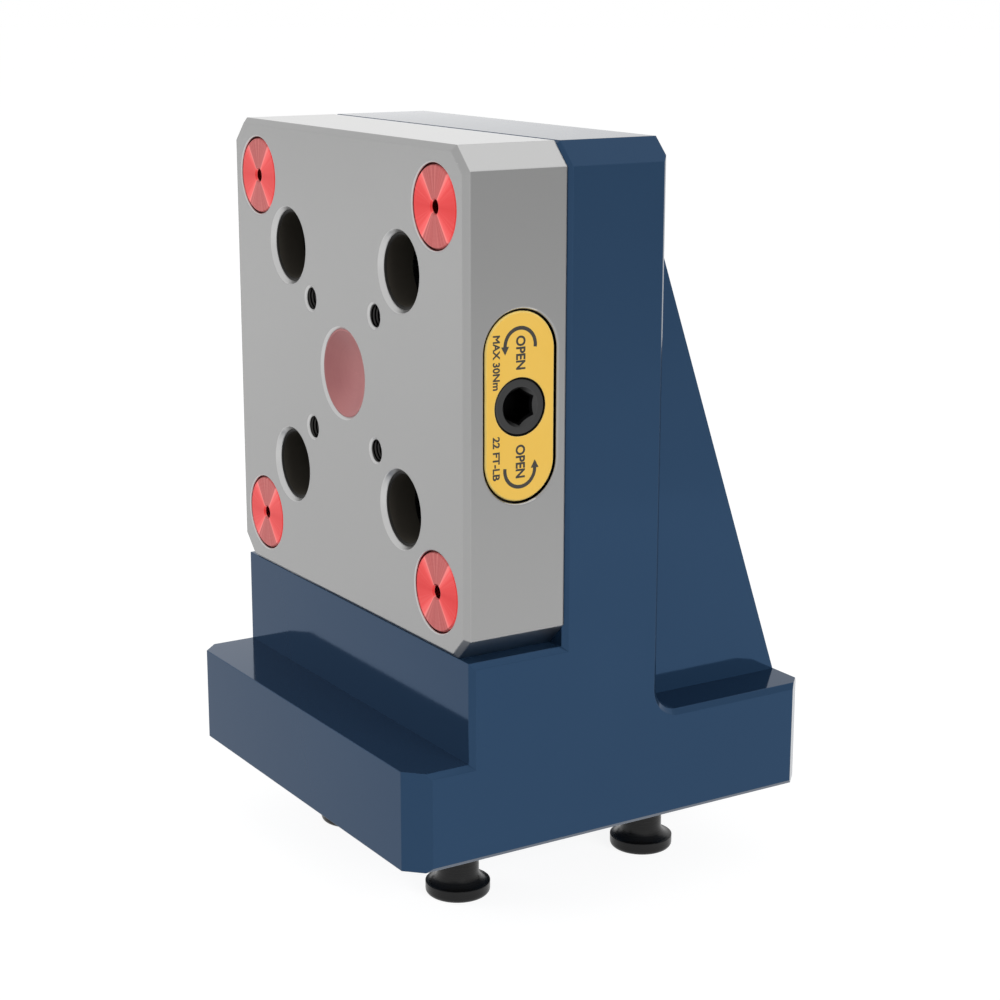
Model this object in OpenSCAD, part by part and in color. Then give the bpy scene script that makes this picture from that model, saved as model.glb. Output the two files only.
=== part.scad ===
// Zero point clamping plate on a right-angle bracket, in millimetres.
// X runs across the plate, Y to the rear and Z up. The four pull studs stand on Z = 0,
// and the origin is midway between them.

/* [Bracket] */
// Width of the bracket
bracket_w = 108; // [107:0.5:130]
// Depth of the bracket's base
base_d = 107.5; // [95:0.5:140]
// Depth of the toe in front of the plate's face
toe_front = 13.5; // [6:0.5:30]
// Thickness of the column behind the plate
column_t = 25.5; // [22:0.5:40]
// Height of the front toe above the base's underside
toe_front_h = 22.5; // [20:0.5:30]
// Height of the rear toe above the base's underside
toe_rear_h = 25; // [20:0.5:40]
// Height of the ledge that carries the plate above the base's underside
ledge_h = 45; // [34:0.5:80]
// How far the step's face lies behind the plate's face
step_back = 1; // [0:0.1:4]
// Cut of the base's upright corners and of the column's top corners
bracket_corner = 5; // [2:0.5:8]
// Bevel along the edges of the bracket's side faces
bracket_bevel = 1.2; // [0.4:0.1:2]
// Fillet between the column and the rear toe
foot_fillet = 6; // [2:0.5:12]
// Thickness of each stiffening rib
rib_t = 16; // [8:0.5:24]
// Distance from the bracket's side face to the rib's outer face
rib_inset = 12; // [6:0.5:18]
// Distance from the column's top to the rib's upper end
rib_drop = 4; // [2:0.5:30]
// Distance of the ribs' feet from the rear face
rib_foot = 1.4; // [1.3:0.1:6]

/* [Plate] */
// Width of the clamping plate
plate_w = 107; // [105:0.5:130]
// Height of the clamping plate
plate_h = 108; // [105:0.5:130]
// Thickness of the clamping plate
plate_t = 24.5; // [24:0.5:32]
// Cut of the plate's four corners
plate_corner = 5; // [2:0.5:8]
// Bevel round the plate's face
plate_bevel = 1.2; // [0.4:0.1:2]
// Wall between the plate's face and the pocket of the slides
face_wall = 8; // [7.5:0.1:9]
// Thickness of the cover that closes the pocket
cover_t = 4; // [3:0.1:4]
// Land round the pocket that the cover lies on
cover_land = 8; // [7.5:0.1:8.5]

/* [Studs and receivers] */
// Spacing of the studs and of the receivers, both ways
stud_pitch = 52; // [50:0.5:54]
// Diameter of a stud's head
stud_d = 15; // [14:0.1:15.5]
// Diameter of a stud's neck
neck_d = 9.8; // [8.5:0.1:10.2]
// Length of a stud below the base
stud_out = 20; // [19:0.1:20.4]
// Height of the straight rim of a stud's head
rim_h = 3; // [2:0.1:4]
// Length of the neck that is let into the base
spigot_l = 4; // [2:0.5:6]
// Diameter of a stud's threaded shank
shank_d = 8; // [6:0.5:8]
// Length of a stud's threaded shank
shank_l = 12; // [8:0.5:13]
// Radius of the foot's lower edge
foot_r = 1.2; // [0.5:0.05:1.4]
// Bevel at the end of a stud's shank
shank_bevel = 1; // [0.5:0.1:1.5]
// Diameter of the two spanner holes in a stud's foot
spanner_d = 2.6; // [2:0.1:3]
// Spacing of the spanner holes
spanner_pitch = 8; // [6:0.1:9]
// Depth of the spanner holes
spanner_h = 3; // [2:0.1:4]
// Wall of a receiver bush
bush_wall = 0.65; // [0.5:0.05:1]
// Width of the lead-in round a receiver
lead_in_w = 0.8; // [0.4:0.1:1]
// Depth of the lead-in round a receiver
lead_in_h = 1.2; // [0.8:0.1:2]

/* [Clamping slides] */
// Travel of each slide
stroke = 4; // [3:0.1:4.2]
// Wall round a keyhole
ring_wall = 1.5; // [1.2:0.1:1.8]
// Width of the bar between the two keyholes of a slide
bar_w = 10; // [6:0.5:11]
// How far the bar and the nut reach outwards from the keyholes' middle
bar_out = 7.5; // [5:0.5:8]
// Length of the nut in a slide
nut_l = 18; // [12:0.5:20]
// Height of the nut in a slide
nut_h = 17; // [15:0.5:19]

/* [Spindle] */
// Depth of the spindle's axis behind the plate's face
drive_depth = 13.4; // [13:0.1:13.8]
// Diameter of the spindle's head
head_d = 12; // [11:0.1:12.4]
// Bevel of the head's outer edge
head_bevel = 0.3; // [0.1:0.05:0.6]
// Diameter of the collar that takes the thrust
collar_d = 14.4; // [13.6:0.1:15]
// Thickness of the collar
collar_t = 3.2; // [2:0.1:3.4]
// Diameter of the journal in the drive bush
journal_d = 11; // [10.4:0.1:11.2]
// Diameter of the thread in the right slide
thread_d = 10; // [9:0.1:10]
// Diameter of the thread in the left slide
tail_thread_d = 8; // [7:0.1:8.2]
// Diameter of the journal in the tail bush
tail_d = 6; // [5:0.1:6.4]
// Wall of the two bearing bushes
bearing_wall = 1; // [0.8:0.1:1.2]
// Wall between the plate's left side and the bush at the spindle's tail
tail_wall = 8.5; // [6:0.1:10]
// Thickness of the bush that retains the collar
retainer_t = 2.6; // [2:0.1:3]
// Thickness of the seal round the spindle's head
seal_t = 1; // [0.8:0.1:1.2]
// Width of the seal's groove in the spindle's head
groove_w = 1.2; // [1:0.1:1.4]
// Width across flats of the spindle's socket
hex_w = 6; // [5:0.5:6]
// Depth of the spindle's socket
socket_h = 4.8; // [3:0.1:5]
// Diameter of the lead-in of the spindle's socket
socket_lead_d = 8.6; // [7:0.1:9]
// Depth of the lead-in of the spindle's socket
socket_lead_h = 1.4; // [0.5:0.1:1.5]

/* [Label] */
// Width of the recess for the label
label_w = 18; // [16.5:0.1:20]
// Height of the recess for the label
label_h = 41.2; // [34:0.2:50]
// Depth of the recess for the label
label_depth = 1.5; // [1:0.1:2]
// Thickness of the label plate
label_t = 1.2; // [0.6:0.1:1.4]
// Bevel of the recess and of the label's edge
label_bevel = 0.3; // [0.1:0.05:0.6]

/* [Corner fixings] */
// Distance from the plate's side edge to a mounting screw
fix_edge_x = 12.5; // [12:0.1:13]
// Distance from the plate's top or bottom edge to a mounting screw
fix_edge_z = 13; // [12.5:0.1:13.5]
// Diameter of the counterbore over a mounting screw
counterbore_d = 18; // [17.4:0.1:18.4]
// Depth of the counterbore
counterbore_h = 15; // [14:0.1:16]
// Thread diameter of a mounting screw
screw_d = 10; // [8:0.5:10]
// Head diameter of a mounting screw
screw_head_d = 16; // [13:0.5:16.5]
// Width across flats of a mounting screw's socket
screw_hex_w = 8; // [6:0.5:8]
// Length of thread in the column
screw_grip = 15; // [10:0.5:16]
// Thickness of a corner plug
plug_t = 4.4; // [4:0.1:5]
// Depth of a corner plug's face behind the plate's face
plug_depth = 0.15; // [0.05:0.05:0.4]
// Bevel round a corner plug and its hole
plug_bevel = 0.4; // [0.1:0.05:0.5]
// Diameter of the extraction hole in a corner plug
plug_hole_d = 2.8; // [2:0.1:4]
// Thickness of the ring seal round a corner plug
plug_seal_t = 1.8; // [1.4:0.1:2]
// Bevel round the counterbores
hole_bevel = 0.25; // [0.1:0.05:0.5]

/* [Face details] */
// Spacing of the tapped holes, both ways
tap_pitch = 30; // [26:0.5:31]
// Diameter of the tapped holes
tap_d = 5; // [4:0.1:5]
// Depth of the tapped holes
tap_h = 7; // [5:0.1:7]
// Bevel round the tapped holes
tap_bevel = 0.5; // [0.2:0.05:0.8]
// Diameter of the bore of the centre plug
centre_d = 20; // [12:0.5:22]
// Depth of the bore of the centre plug
centre_h = 5; // [3:0.1:5.2]
// Bevel round the bore of the centre plug
centre_bevel = 0.6; // [0.2:0.05:1]
// Depth of the dish in the centre plug
dish_h = 3; // [1:0.1:3.2]
// Flat rim round the dish
dish_rim = 0.4; // [0.2:0.1:2]

/* [Fasteners at the back] */
// Thread diameter of the cover's screws
cover_screw_d = 4; // [3:0.5:4]
// Head diameter of the cover's screws
cover_head_d = 7.4; // [6:0.1:7.5]
// Width across flats of the sockets in the cover's screws
cover_hex_w = 2.5; // [2:0.5:3]
// Length of the cover's screws
cover_screw_l = 11; // [8:0.5:12]
// Distance of the cover's screws from the middle of each side
cover_screw_step = 13; // [8:0.5:16]
// Diameter of the dowel pins between plate and column
dowel_d = 6; // [4:0.5:7]
// Length of the dowel pins
dowel_l = 20; // [12:1:24]
// Distance from the plate's top or bottom edge to a dowel pin
dowel_edge = 6; // [5.5:0.1:6.2]
// Distance across the plate from a mounting screw to a dowel pin
dowel_step = 12; // [11.5:0.1:12.5]
// Depth of a blind hole beyond the screw or pin in it
hole_end = 2; // [1:0.1:3]
// Wall between the cover and the holes of the mounting screws
fix_wall = 2; // [1.5:0.1:2.5]

/* [Clearances] */
// Radial play of a stud's head in its receiver
stud_play = 0.1; // [0.05:0.05:0.3]
// Radial play of turning fits
run_play = 0.05; // [0.02:0.01:0.1]
// Radial play of pressed, screwed and pinned fits
seat_play = 0.02; // [0.01:0.01:0.05]
// Play of the slides between their guiding faces
guide_play = 0.1; // [0.05:0.05:0.3]
// Open play round the slides and necks
free_play = 0.3; // [0.2:0.05:0.5]
// Gap round the label and the corner plugs
trim_gap = 0.5; // [0.1:0.05:0.6]

/* [Hidden] */
$fn = 64;
CORNERS = [[-1, 1], [1, 1], [-1, -1], [1, -1]];

// Overlap that lets a cut pass clear through a face
cut = 0.05;

// Planes of the bracket along Y and Z
front_y = -base_d / 2;
face_y = front_y + toe_front;
step_y = face_y + step_back;
column_y = face_y + plate_t;
column_rear_y = column_y + column_t;
rear_y = base_d / 2;
base_z = stud_out;
toe_front_z = base_z + toe_front_h;
toe_rear_z = base_z + toe_rear_h;
ledge_z = base_z + ledge_h;
top_z = ledge_z + plate_h;
plate_z = ledge_z + plate_h / 2;

// Places of the mounting screws from the plate's middle
fix_x = plate_w / 2 - fix_edge_x;
fix_z = plate_h / 2 - fix_edge_z;

// Sizes of receivers and slides, from the stud
receiver_r = stud_d / 2 + stud_play;
bush_r = receiver_r + bush_wall;
keyhole_r = stud_d / 2 + free_play;
slot_r = neck_d / 2 + free_play;
ring_r = keyhole_r + ring_wall;
nose_r = slot_r + ring_wall;
flare_r = (stud_d - neck_d) / 2;
neck_l = stud_out - rim_h - flare_r;
slot_end_x = stud_pitch / 2 + stroke;

// Pocket of the slides and its cover
pocket_w = 2 * (slot_end_x + nose_r + free_play);
pocket_h = 2 * (stud_pitch / 2 + ring_r + guide_play);
pocket_reach = max(
    slot_end_x + stud_pitch / 2 + nose_r * sqrt(2),
    stud_pitch + ring_r * sqrt(2)
) + free_play;
pocket_corner = (pocket_w + pocket_h) / 2 - pocket_reach;
pocket_end = plate_t - cover_t;
cover_w = pocket_w + 2 * cover_land;
cover_h = pocket_h + 2 * cover_land;
cover_reach = fix_x + fix_z - (screw_d / 2 + free_play + fix_wall) * sqrt(2);
cover_corner = (cover_w + cover_h) / 2 - cover_reach;
nut_depth = drive_depth - (pocket_end - drive_depth);
nut_end_x = stud_pitch / 2 + bar_out;

// Stations of the spindle along X
plate_x = plate_w / 2;
label_floor_x = plate_x - label_depth;
label_face_x = label_floor_x + label_t;
retainer_x = label_floor_x - retainer_t;
collar_x = retainer_x - run_play - collar_t;
drive_end_x = collar_x - run_play;
drive_start_x = pocket_w / 2 + free_play;
thread_start_x = nut_end_x - nut_l - stroke - free_play;
tail_start_x = -pocket_w / 2;
tail_end_x = tail_wall - plate_x;
collar_seat_r = collar_d / 2 + run_play;
seal_x = (retainer_x + label_floor_x) / 2;

// Corner plugs and the screw heads below them
plug_r = counterbore_d / 2 - trim_gap / 2;
plug_mid = plug_depth + plug_t / 2;
screw_head_h = min(screw_d, counterbore_h - plug_depth - plug_t - free_play);

// Outline of a rectangle with cut corners, counter-clockwise
function cut_rect(w, h, c) = [
    [w / 2 - c, -h / 2], [w / 2, -h / 2 + c], [w / 2, h / 2 - c], [w / 2 - c, h / 2],
    [-w / 2 + c, h / 2], [-w / 2, h / 2 - c], [-w / 2, -h / 2 + c], [-w / 2 + c, -h / 2]
];

// Outward normal of the edge from a to b of a counter-clockwise outline
function edge_normal(a, b) = [b.y - a.y, a.x - b.x] / norm(b - a);

// An outline moved outwards by d, with mitred corners
function moved(path, d, closed) = let (n = len(path)) [
    for (i = [0:n - 1]) let (
        before = closed || i > 0 ? edge_normal(path[(i + n - 1) % n], path[i]) : undef,
        after = closed || i < n - 1 ? edge_normal(path[i], path[(i + 1) % n]) : undef,
        n1 = is_undef(before) ? after : before,
        n2 = is_undef(after) ? before : after
    ) path[i] + d * (n1 + n2) / (1 + n1 * n2)
];

// Cutter for a 45 degree bevel of width b along the edges of a face in the plane Z = 0
module edge_bevel(path, b, closed = true) {
    n = len(path);
    outer = moved(path, cut, closed);
    inner = moved(path, -b - cut, closed);
    points = [for (i = [0:n - 1]) each [
        [outer[i].x, outer[i].y, cut],
        [outer[i].x, outer[i].y, -b - cut],
        [inner[i].x, inner[i].y, cut]
    ]];
    sides = [for (i = [0:closed ? n - 1 : n - 2]) let (a = 3 * i, c = 3 * ((i + 1) % n)) each [
        [a, a + 2, c + 2, c],
        [a, c, c + 1, a + 1],
        [a + 1, c + 1, c + 2, a + 2]
    ]];
    last = 3 * (n - 1);
    ends = closed ? [] : [[0, 1, 2], [last, last + 2, last + 1]];
    polyhedron(points, concat(sides, ends));
}

// Turns a shape drawn in the plane of Y and Z so that its height runs along X
module along_x() rotate([90, 0, 90]) children();

// Frame of the plate: X across, Y up, and Z out of the plate's face
module on_face() translate([0, face_y, plate_z]) rotate([90, 0, 0]) children();

// Cylinder or cone between two depths behind the plate's face
module sunk(from, to, r_from, r_to) {
    translate([0, 0, -to]) cylinder(h = to - from, r1 = is_undef(r_to) ? r_from : r_to, r2 = r_from);
}

// Slab with a given outline between two depths behind the plate's face
module sunk_slab(from, to) translate([0, 0, -to]) linear_extrude(to - from) children();

// Copies at the four corners of a square pattern
module at_corners(pitch) for (c = CORNERS) translate(c * pitch / 2) children();

// Place of one corner fixing, and copies at all four
module at_fixing(i) translate([CORNERS[i].x * fix_x, CORNERS[i].y * fix_z]) children();
module at_fixings() for (i = [0:3]) at_fixing(i) children();

// The spindle's axis: cylinder along X between two stations
module turned(x0, x1, r0, r1) {
    translate([x0, face_y + drive_depth, plate_z]) along_x()
        cylinder(h = x1 - x0, r1 = r0, r2 = is_undef(r1) ? r0 : r1);
}

// Hexagon prism with flats a given distance apart
module hexagon(flats, h) cylinder(h = h, r = flats / 2 / cos(30), $fn = 6);

// Outline with round ends, standing on its long axis
module round_ended(w, h) {
    for (s = [-1, 1]) translate([0, s * (h - w) / 2]) circle(d = w);
    square([w, h - w], center = true);
}

// Solid with round ends, whose outline grows by b all round over its height
module round_taper(w, h, t, b) {
    for (s = [-1, 1]) translate([0, s * (h - w) / 2]) cylinder(h = t, d1 = w, d2 = w + 2 * b);
    translate([0, (h - w) / 2]) rotate([90, 0, 0]) linear_extrude(h - w)
        polygon([[-w / 2, 0], [w / 2, 0], [w / 2 + b, t], [-w / 2 - b, t]]);
}

// Points of the bracket's side profile, with the fillet behind the column
function bracket_profile(steps) = concat(
    [[front_y, base_z], [rear_y, base_z], [rear_y, toe_rear_z]],
    [for (i = [0:steps]) let (a = 270 - 90 * i / steps)
        [column_rear_y + foot_fillet, toe_rear_z + foot_fillet] + foot_fillet * [cos(a), sin(a)]],
    [[column_rear_y, top_z], [column_y, top_z], [column_y, ledge_z], [step_y, ledge_z]],
    [[step_y, toe_front_z], [front_y, toe_front_z]]
);

// Side view of the bracket without its ribs
module bracket_side() difference() {
    polygon(bracket_profile(1));
    translate([column_rear_y + foot_fillet, toe_rear_z + foot_fillet]) circle(r = foot_fillet);
}

// Side view of a rib, which starts at half of the column's and the toe's thickness
module rib_side() {
    start_y = column_y + column_t / 2;
    start_z = base_z + toe_rear_h / 2;
    polygon([
        [start_y, start_z], [rear_y - rib_foot, start_z], [rear_y - rib_foot, toe_rear_z],
        [column_rear_y, top_z - rib_drop], [start_y, top_z - rib_drop]
    ]);
}

// Front view of the bracket, with the column's top corners cut
module bracket_front() polygon([
    [-bracket_w / 2, base_z], [bracket_w / 2, base_z], [bracket_w / 2, top_z - bracket_corner],
    [bracket_w / 2 - bracket_corner, top_z], [-bracket_w / 2 + bracket_corner, top_z],
    [-bracket_w / 2, top_z - bracket_corner]
]);

// Bevels round the side faces, over the top of the column's front face and behind the rear toe
module bracket_bevels() {
    for (s = [0, 1]) mirror([s, 0, 0]) translate([bracket_w / 2, 0, 0]) along_x()
        edge_bevel(bracket_profile(12), bracket_bevel);
    translate([0, column_y, 0]) rotate([90, 0, 0]) edge_bevel([
        [bracket_w / 2, plate_z], [bracket_w / 2, top_z - bracket_corner],
        [bracket_w / 2 - bracket_corner, top_z], [-bracket_w / 2 + bracket_corner, top_z],
        [-bracket_w / 2, top_z - bracket_corner], [-bracket_w / 2, plate_z]
    ], bracket_bevel, closed = false);
    translate([0, 0, toe_rear_z])
        edge_bevel([[bracket_w / 2, rear_y], [-bracket_w / 2, rear_y]], bracket_bevel, closed = false);
}

// Holes of the bracket: stud seats below, and screw and dowel holes behind the plate
module bracket_holes() {
    at_corners(stud_pitch) translate([0, 0, base_z - cut]) {
        cylinder(h = spigot_l + cut, d = neck_d + 2 * seat_play);
        cylinder(h = spigot_l + shank_l + hole_end + cut, d = shank_d + 2 * seat_play);
    }
    on_face() {
        at_fixings() sunk(plate_t - cut, plate_t + screw_grip + hole_end, screw_d / 2 + seat_play);
        dowel_places() sunk(plate_t - cut, plate_t + dowel_l / 2 + hole_end, dowel_d / 2 + seat_play);
    }
}

module angle_bracket() color("#2f4a68") difference() {
    union() {
        intersection() {
            translate([-bracket_w / 2, 0, 0]) along_x() linear_extrude(bracket_w) bracket_side();
            linear_extrude(top_z) polygon(cut_rect(bracket_w, base_d, bracket_corner));
            translate([0, rear_y, 0]) rotate([90, 0, 0]) linear_extrude(base_d) bracket_front();
        }
        for (s = [-1, 1]) translate([s * (bracket_w / 2 - rib_inset - rib_t / 2) - rib_t / 2, 0, 0])
            along_x() linear_extrude(rib_t) rib_side();
    }
    bracket_bevels();
    bracket_holes();
}

// The two dowels stand near opposite corners
module dowel_places() for (s = [-1, 1])
    translate([-s * (fix_x - dowel_step), s * (plate_h / 2 - dowel_edge)]) children();

// The cover's screws stand in pairs on its four sides
module cover_screw_places() {
    edge = cover_land / 2;
    for (s = [-1, 1], t = [-1, 1]) {
        translate([s * (pocket_w / 2 + edge), t * cover_screw_step]) children();
        translate([t * cover_screw_step, s * (pocket_h / 2 + edge)]) children();
    }
}

// Hollow of the plate that the slides run in, deeper along the spindle
module slide_pocket() {
    sunk_slab(face_wall, pocket_end + cut) polygon(cut_rect(pocket_w, pocket_h, pocket_corner));
    sunk_slab(nut_depth, pocket_end) square([pocket_w, nut_h + 2 * free_play], center = true);
}

// Bores of the plate for the spindle, its bushes and the label
module drive_bores() {
    turned(tail_end_x, tail_start_x + cut, tail_d / 2 + run_play + bearing_wall + seat_play);
    turned(pocket_w / 2 - cut, drive_end_x + cut, journal_d / 2 + run_play + bearing_wall + seat_play);
    turned(drive_end_x, plate_x, collar_seat_r + seat_play);
    translate([label_floor_x, face_y + drive_depth, plate_z]) along_x() {
        linear_extrude(label_depth + cut) round_ended(label_w, label_h);
        translate([0, 0, label_depth - label_bevel])
            round_taper(label_w, label_h, label_bevel + cut, label_bevel + cut);
    }
}

module clamp_plate() color("#a9a9a8") difference() {
    on_face() difference() {
        sunk_slab(0, plate_t) polygon(cut_rect(plate_w, plate_h, plate_corner));
        edge_bevel(cut_rect(plate_w, plate_h, plate_corner), plate_bevel);
        at_corners(stud_pitch) {
            sunk(-cut, face_wall + cut, bush_r + seat_play);
            sunk(0, lead_in_h, bush_r + lead_in_w, bush_r);
        }
        at_fixings() {
            sunk(-cut, counterbore_h, counterbore_d / 2);
            sunk(0, hole_bevel, counterbore_d / 2 + hole_bevel, counterbore_d / 2);
            sunk(0, plate_t + cut, screw_d / 2 + free_play);
        }
        at_corners(tap_pitch) {
            sunk(-cut, tap_h, tap_d / 2);
            sunk(0, tap_bevel, tap_d / 2 + tap_bevel, tap_d / 2);
        }
        sunk(-cut, centre_h, centre_d / 2);
        sunk(0, centre_bevel, centre_d / 2 + centre_bevel, centre_d / 2);
        slide_pocket();
        sunk_slab(pocket_end, plate_t + cut)
            polygon(cut_rect(cover_w + 2 * guide_play, cover_h + 2 * guide_play, cover_corner));
        cover_screw_places() sunk(plate_t - cover_screw_l - hole_end, plate_t, cover_screw_d / 2 + seat_play);
        dowel_places() sunk(plate_t - dowel_l / 2 - hole_end, plate_t + cut, dowel_d / 2 + seat_play);
    }
    drive_bores();
}

// Countersunk head of a cover screw, larger all round by a gap
module countersink(gap) {
    shank_r = cover_screw_d / 2;
    head_r = cover_head_d / 2;
    sunk(plate_t - head_r + shank_r - guide_play, plate_t - guide_play + gap, shank_r + gap, head_r + gap);
}

module back_cover() color("#8f9192") on_face() difference() {
    sunk_slab(pocket_end, plate_t) polygon(cut_rect(cover_w, cover_h, cover_corner));
    cover_screw_places() {
        sunk(pocket_end - cut, plate_t, cover_screw_d / 2 + guide_play);
        countersink(guide_play);
    }
}

module cover_screws() color("#3a3b3d") on_face() cover_screw_places() difference() {
    union() {
        sunk(plate_t - cover_screw_l, plate_t - guide_play, cover_screw_d / 2);
        countersink(0);
    }
    translate([0, 0, -plate_t]) hexagon(cover_hex_w, cover_screw_d / 2);
}

module mounting_screws() color("#3a3b3d") on_face() at_fixings() difference() {
    union() {
        sunk(counterbore_h - screw_head_h, counterbore_h, screw_head_d / 2);
        sunk(counterbore_h - cut, plate_t + screw_grip, screw_d / 2);
    }
    translate([0, 0, screw_head_h / 2 - counterbore_h]) hexagon(screw_hex_w, screw_head_h);
}

module dowel_pins() color("#b9bbbd") on_face() dowel_places()
    sunk(plate_t - dowel_l / 2, plate_t + dowel_l / 2, dowel_d / 2);

// Slot that runs outwards from a keyhole by the slide's travel
module keyhole_slot(from, to, r) {
    translate([slot_end_x, 0]) sunk(from, to, r);
    sunk_slab(from, to) translate([stud_pitch / 2, -r]) square([stroke, 2 * r]);
}

// Slide on the right: two keyholes joined by a bar, and the nut on the spindle's thread
module slide(nut_d) difference() {
    front = face_wall + guide_play;
    back = pocket_end - guide_play;
    on_face() difference() {
        union() {
            for (s = [-1, 1]) translate([0, s * stud_pitch / 2]) {
                translate([stud_pitch / 2, 0]) sunk(front, back, ring_r);
                keyhole_slot(front, back, nose_r);
            }
            sunk_slab(front, back)
                translate([nut_end_x - bar_w, -stud_pitch / 2]) square([bar_w, stud_pitch]);
            sunk_slab(nut_depth + guide_play, back)
                translate([nut_end_x - nut_l, -nut_h / 2]) square([nut_l, nut_h]);
        }
        for (s = [-1, 1]) translate([0, s * stud_pitch / 2]) {
            translate([stud_pitch / 2, 0]) sunk(0, plate_t, keyhole_r);
            keyhole_slot(0, plate_t, slot_r);
            keyhole_slot(neck_l - free_play, plate_t, keyhole_r);
        }
    }
    turned(0, plate_x, nut_d / 2 + run_play);
}

module slide_right() color("#77797b") slide(thread_d);

module slide_left() color("#77797b") mirror([1, 0, 0]) slide(tail_thread_d);

module spindle() color("#232527") difference() {
    union() {
        turned(tail_end_x + free_play, tail_start_x, tail_d / 2);
        turned(tail_start_x + free_play, -thread_start_x, tail_thread_d / 2);
        turned(tail_start_x, thread_start_x, tail_d / 2);
        turned(thread_start_x, drive_start_x, thread_d / 2);
        turned(drive_start_x - cut, collar_x, journal_d / 2);
        turned(collar_x, collar_x + collar_t, collar_d / 2);
        turned(collar_x, label_face_x - head_bevel, head_d / 2);
        turned(label_face_x - head_bevel, label_face_x, head_d / 2, head_d / 2 - head_bevel);
    }
    difference() {
        turned(seal_x - groove_w / 2, seal_x + groove_w / 2, head_d / 2 + cut);
        turned(seal_x - groove_w, seal_x + groove_w, head_d / 2 - seal_t);
    }
    translate([label_face_x - socket_h, face_y + drive_depth, plate_z]) along_x()
        rotate(30) hexagon(hex_w, socket_h + cut);
    turned(label_face_x - socket_lead_h, label_face_x, hex_w / 2, socket_lead_d / 2);
}

module spindle_seal() color("#191919") translate([seal_x, face_y + drive_depth, plate_z]) along_x()
    rotate_extrude() translate([head_d / 2 - seal_t / 2, 0]) circle(d = seal_t - 2 * seat_play);

// Plain bush on the spindle's axis
module axis_bush(x0, x1, bore_r, outer_r) difference() {
    turned(x0, x1, outer_r);
    turned(x0 - cut, x1 + cut, bore_r);
}

module drive_bush() color("#b08a4a")
    axis_bush(drive_start_x, drive_end_x, journal_d / 2 + run_play, journal_d / 2 + run_play + bearing_wall);

module tail_bush() color("#b08a4a")
    axis_bush(tail_end_x, tail_start_x, tail_d / 2 + run_play, tail_d / 2 + run_play + bearing_wall);

module retaining_bush() color("#5b5d60")
    axis_bush(retainer_x, label_floor_x, head_d / 2 + run_play, collar_seat_r);

module label_plate() color("#e4bd55") translate([label_floor_x, face_y + drive_depth, plate_z]) along_x()
    difference() {
        w = label_w - 2 * trim_gap;
        h = label_h - 2 * trim_gap;
        union() {
            linear_extrude(label_t - label_bevel) round_ended(w, h);
            translate([0, 0, label_t - label_bevel]) round_taper(w, h, label_bevel, -label_bevel);
        }
        translate([0, 0, -cut]) cylinder(h = label_t + 2 * cut, d = head_d + trim_gap);
    }

module centre_plug() color("#c47a78") on_face() difference() {
    disc_r = centre_d / 2 - seat_play;
    dish_r = (pow(disc_r - dish_rim, 2) + pow(dish_h, 2)) / (2 * dish_h);
    sunk(centre_bevel, centre_h, disc_r);
    translate([0, 0, dish_r - dish_h - centre_bevel]) sphere(dish_r);
}

module receiver_bush(i) color("#1d1e1f") on_face() translate(CORNERS[i] * stud_pitch / 2) difference() {
    sunk(lead_in_h, face_wall, bush_r);
    sunk(lead_in_h - cut, face_wall + cut, receiver_r);
    sunk(lead_in_h, lead_in_h + bush_wall / 2, receiver_r + bush_wall / 2, receiver_r);
}

// Seals of the corner plugs lie in a groove at half of the plug's thickness
module plug_seals() color("#191919") on_face() at_fixings() translate([0, 0, -plug_mid]) rotate_extrude()
    translate([(counterbore_d - plug_seal_t) / 2 - seat_play, 0]) circle(d = plug_seal_t);

module corner_plug(i) color("#d9484a") on_face() at_fixing(i) difference() {
    union() {
        sunk(plug_depth, plug_depth + plug_bevel, plug_r - plug_bevel, plug_r);
        sunk(plug_depth + plug_bevel, plug_depth + plug_t, plug_r);
    }
    sunk(0, plug_depth + plug_t + cut, plug_hole_d / 2);
    sunk(plug_depth, plug_depth + plug_bevel, plug_hole_d / 2 + plug_bevel, plug_hole_d / 2);
    difference() {
        sunk(plug_mid - plug_seal_t / 2 - cut, plug_mid + plug_seal_t / 2 + cut, counterbore_d / 2);
        sunk(plug_depth, plug_depth + plug_t, counterbore_d / 2 - plug_seal_t - 2 * seat_play);
    }
}

module pull_stud(i) color("#363737") translate(CORNERS[i] * stud_pitch / 2) difference() {
    rotate_extrude() stud_half();
    for (s = [-1, 1]) translate([s * spanner_pitch / 2, 0, -cut])
        cylinder(h = spanner_h + cut, d = spanner_d);
}

// Half section of a stud: a rim with a round lower edge, a fillet up to the neck, and the shank
module stud_half() {
    seat_z = base_z + spigot_l;
    rim_r = stud_d / 2;
    square([rim_r - foot_r, rim_h]);
    translate([rim_r - foot_r, foot_r]) circle(foot_r);
    translate([0, foot_r]) square([rim_r, rim_h - foot_r]);
    difference() {
        translate([0, rim_h]) square([rim_r, flare_r]);
        translate([rim_r, rim_h + flare_r]) circle(flare_r);
    }
    polygon([
        [0, rim_h], [neck_d / 2, rim_h], [neck_d / 2, seat_z], [shank_d / 2, seat_z],
        [shank_d / 2, seat_z + shank_l - shank_bevel], [shank_d / 2 - shank_bevel, seat_z + shank_l],
        [0, seat_z + shank_l]
    ]);
}

angle_bracket();
clamp_plate();
back_cover();
cover_screws();
mounting_screws();
dowel_pins();
slide_left();
slide_right();
spindle();
spindle_seal();
drive_bush();
tail_bush();
retaining_bush();
label_plate();
centre_plug();
plug_seals();
for (i = [0:3]) {
    receiver_bush(i);
    corner_plug(i);
    pull_stud(i);
}
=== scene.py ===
"""Looks of the zero point clamping plate on its right-angle bracket, in metres, Z up."""

import math

import bmesh
import bpy
from mathutils import Matrix, Vector


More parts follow.
